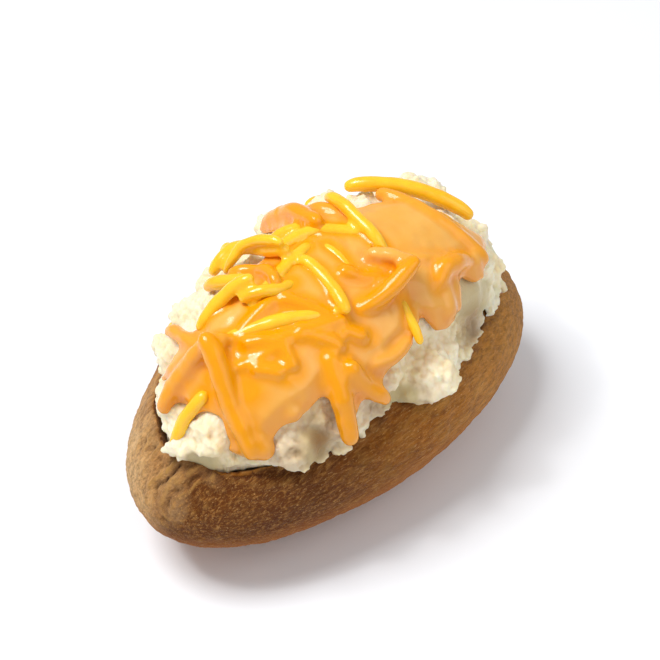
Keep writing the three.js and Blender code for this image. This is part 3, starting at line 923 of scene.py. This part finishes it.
def crumbTree():
    tree, given, result = geometryTree("crumbs", {
        "Clod Size": "NodeSocketFloat",
        "Clod Depth": "NodeSocketFloat",
        "Density": "NodeSocketFloat",
        "Smallest": "NodeSocketFloat",
        "Largest": "NodeSocketFloat",
        "Seed": "NodeSocketInt",
    })
    bare = addNode(tree, "GeometryNodeInputNamedAttribute", {"data_type": "FLOAT"}, {"Name": "bare"})
    clumps = addNode(tree, "ShaderNodeMapRange", {}, {
        0: sizedNoise(tree, 5, detail=1.0, seed=9.0), 1: 0.4, 2: 0.62, 3: 0.15, 4: 1.0})
    share = addNode(tree, "ShaderNodeMath", {"operation": "MULTIPLY"}, {0: bare, 1: clumps})
    share = addNode(tree, "ShaderNodeMath", {"operation": "MULTIPLY"}, {
        0: share, 1: given.outputs["Density"]})
    clods = cellDomes(tree, given.outputs["Clod Size"], {"feature": "SMOOTH_F1"}, {"Smoothness": 0.25},
                      given.outputs["Clod Depth"])
    clods = addNode(tree, "ShaderNodeMath", {"operation": "MULTIPLY"}, {0: clods, 1: bare})
    core = pushOut(tree, given.outputs["Geometry"], clods)
    points = addNode(tree, "GeometryNodeDistributePointsOnFaces", {"distribute_method": "RANDOM"}, {
        "Mesh": core, "Density": share, "Seed": given.outputs["Seed"]})
    ball = addNode(tree, "GeometryNodeMeshIcoSphere", {}, {"Radius": 1.0, "Subdivisions": 1})
    size = addNode(tree, "FunctionNodeRandomValue", {"data_type": "FLOAT"}, {
        2: given.outputs["Smallest"], 3: given.outputs["Largest"], "Seed": given.outputs["Seed"]})
    squash = addNode(tree, "FunctionNodeRandomValue", {"data_type": "FLOAT_VECTOR"}, {
        0: (0.7, 0.7, 0.6), 1: (1.25, 1.25, 1.0), "Seed": 3})
    scale = addNode(tree, "ShaderNodeVectorMath", {"operation": "SCALE"}, {
        0: squash.outputs[0], "Scale": size.outputs[1]})
    spread = addNode(tree, "GeometryNodeInstanceOnPoints", {}, {
        "Points": points.outputs["Points"], "Instance": ball.outputs["Mesh"],
        "Rotation": points.outputs["Rotation"], "Scale": scale})
    real = addNode(tree, "GeometryNodeRealizeInstances", {}, {"Geometry": spread})
    both = addNode(tree, "GeometryNodeJoinGeometry")
    for piece in (core, real):
        tree.links.new(piece.outputs[0], both.inputs[0])
    tree.links.new(both.outputs[0], result.inputs[0])
    return tree


def fluffTree(material):
    tree, given, result = geometryTree("fluff", {
        "Crumb Depth": "NodeSocketFloat",
        "Grain Size": "NodeSocketFloat",
        "Grain Depth": "NodeSocketFloat",
    })
    waxy = addNode(tree, "GeometryNodeInputNamedAttribute", {"data_type": "FLOAT"}, {"Name": "waxy"})
    dry = addNode(tree, "ShaderNodeMath", {"operation": "SUBTRACT"}, {0: 1.0, 1: waxy})
    crumbs = swing(tree, sizedNoise(tree, 3.4, seed=4.0), given.outputs["Crumb Depth"])
    crumbs = addNode(tree, "ShaderNodeMath", {"operation": "MULTIPLY"}, {0: crumbs, 1: dry})
    grains = cellDomes(tree, given.outputs["Grain Size"], {"feature": "F1"}, {},
                       given.outputs["Grain Depth"])
    grains = addNode(tree, "ShaderNodeMath", {"operation": "MULTIPLY"}, {0: grains, 1: dry})
    height = addNode(tree, "ShaderNodeMath", {"operation": "ADD"}, {0: crumbs, 1: grains})
    relief = pushOut(tree, given.outputs["Geometry"], height)
    return finishTree(tree, result, keepProud(tree, relief, 4), material)


def waxyAt(points):
    waxy = np.zeros(len(points))
    for place, radius in fleshValues["waxy"]:
        apart = np.linalg.norm(points - np.array(place) * mm, axis=1) / (radius * mm)
        waxy = np.maximum(waxy, np.clip((1.15 - apart) / 0.3, 0, 1))
    return waxy


def makeFlesh():
    flesh = cadCopy("fluffedFlesh", "flesh")
    remesh(flesh, fleshValues["coreVoxel"], fleshValues["coreSmoothing"])
    cutBelow(flesh, fleshValues["bottom"])
    mesh = flesh.data
    points = coordinates(mesh)
    humpWidth, humpHeight = fleshValues["coreUneven"]
    gapSize = fleshValues["gapSize"] * mm
    humps = np.array([noise.noise(Vector(p) / (humpWidth * mm)) for p in points])
    gaps = np.array([noise.noise(Vector(p) / gapSize + Vector((7, 3, 1))) for p in points])
    points += normalsOf(mesh) * (humps * humpHeight - fleshValues["sunkBy"])[:, None] * mm
    front = np.interp(points[:, 0] / mm, *zip(*fleshValues["shyAtFront"]))
    shy = np.where(points[:, 1] < 0, front, fleshValues["shyAtBack"]) * np.clip(0.8 + gaps, 0.3, 1.3)
    height = points[:, 2] / mm
    nearRim = np.clip((50 - height) / 7, 0, 1) * np.clip((height - 32) / 5, 0, 1)
    outward = points * np.array([1 / 54.5, 1 / 32.5, 0])
    outward /= np.maximum(np.linalg.norm(outward, axis=1), 1e-4)[:, None]
    points -= outward * (nearRim * shy)[:, None] * mm
    moveVertices(mesh, points)
    sauceGap = distanceTo(treeOf(sauce), points, 6)
    bare = np.clip((sauceGap - fleshValues["sauceClears"]) / 1.5, 0, 1)
    bare *= points[:, 2] > fleshValues["showsAbove"] * mm
    bare *= (normalsOf(mesh)[:, 2] > -0.6) * (1 - waxyAt(points))
    vertexValue(mesh, "bare", bare)
    bake(setTree(flesh, crumbTree(), {
        "Clod Size": fleshValues["clodSize"] * mm,
        "Clod Depth": fleshValues["clodDepth"] * mm,
        "Density": fleshValues["lumpsPerSquareCentimetre"] * 1e4,
        "Smallest": fleshValues["smallest"] * mm,
        "Largest": fleshValues["largest"] * mm,
        "Seed": fleshValues["seed"],
    }))
    remesh(flesh, fleshValues["voxel"], fleshValues["smoothing"])
    points = coordinates(flesh.data)
    # painted shade: darker towards the bottom and round the listed spots
    low = np.clip((39 - points[:, 2] / mm) / 9, 0, 1)
    for place, reach in fleshValues["paintedShadeSpots"]:
        apart = np.linalg.norm(points - np.array(place) * mm, axis=1) / (reach * mm)
        low = np.maximum(low, np.exp(-apart ** 2))
    vertexValue(flesh.data, "low", low)
    vertexValue(flesh.data, "waxy", waxyAt(points))
    bake(setTree(flesh, fluffTree(fleshMaterial()), {
        "Crumb Depth": fleshValues["crumbDepth"] * mm,
        "Grain Size": fleshValues["grainSize"] * mm,
        "Grain Depth": fleshValues["grainDepth"] * mm,
    }))
    return flesh


flesh = makeFlesh()
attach(flesh, "root")
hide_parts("flesh")
print("flesh:", len(flesh.data.polygons), "faces")
